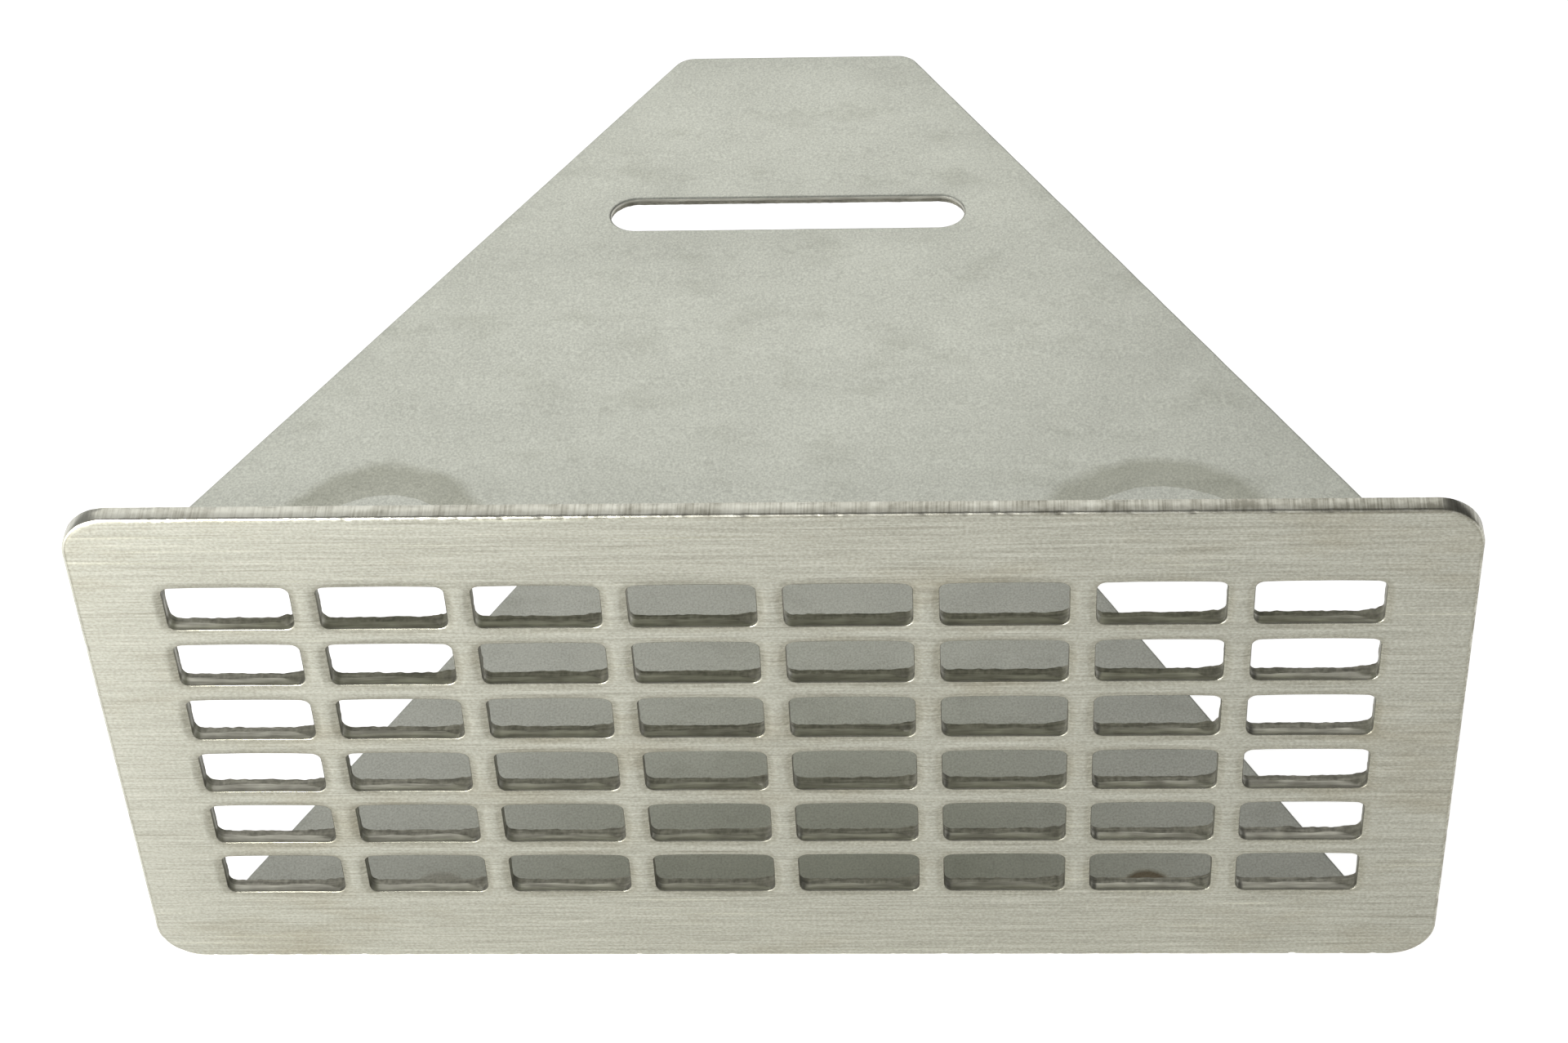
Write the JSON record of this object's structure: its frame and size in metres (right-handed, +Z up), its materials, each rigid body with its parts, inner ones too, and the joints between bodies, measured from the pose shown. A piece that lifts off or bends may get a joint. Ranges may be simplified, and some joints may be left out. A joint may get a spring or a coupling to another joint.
{
  "type": "slotted sluice screen",
  "caption": "Rectangular slotted steel face plate with tapered sheet wings welded behind its upper and lower edges, each with a cross slot near the rear.",
  "frame": {"origin": "bottom centre of the bounding box, level with the face plate's bottom edge", "axes": "+X to the right along the face plate, +Y from the face plate to the wings' rear edges, +Z up"},
  "size_m": [0.228, 0.1466, 0.1096],
  "materials": {
    "plate_steel": "brushed side to side",
    "sheet_steel": "dull mill finish",
    "weld_steel": "rippled, heat tinted"
  },
  "bodies": {
    "root": {"face_plate": "plate_steel", "upper_wing": "sheet_steel", "lower_wing": "sheet_steel", "weld_upper_left": "weld_steel", "weld_upper_right": "weld_steel", "weld_lower_left": "weld_steel", "weld_lower_right": "weld_steel"}
  },
  "joints": []
}
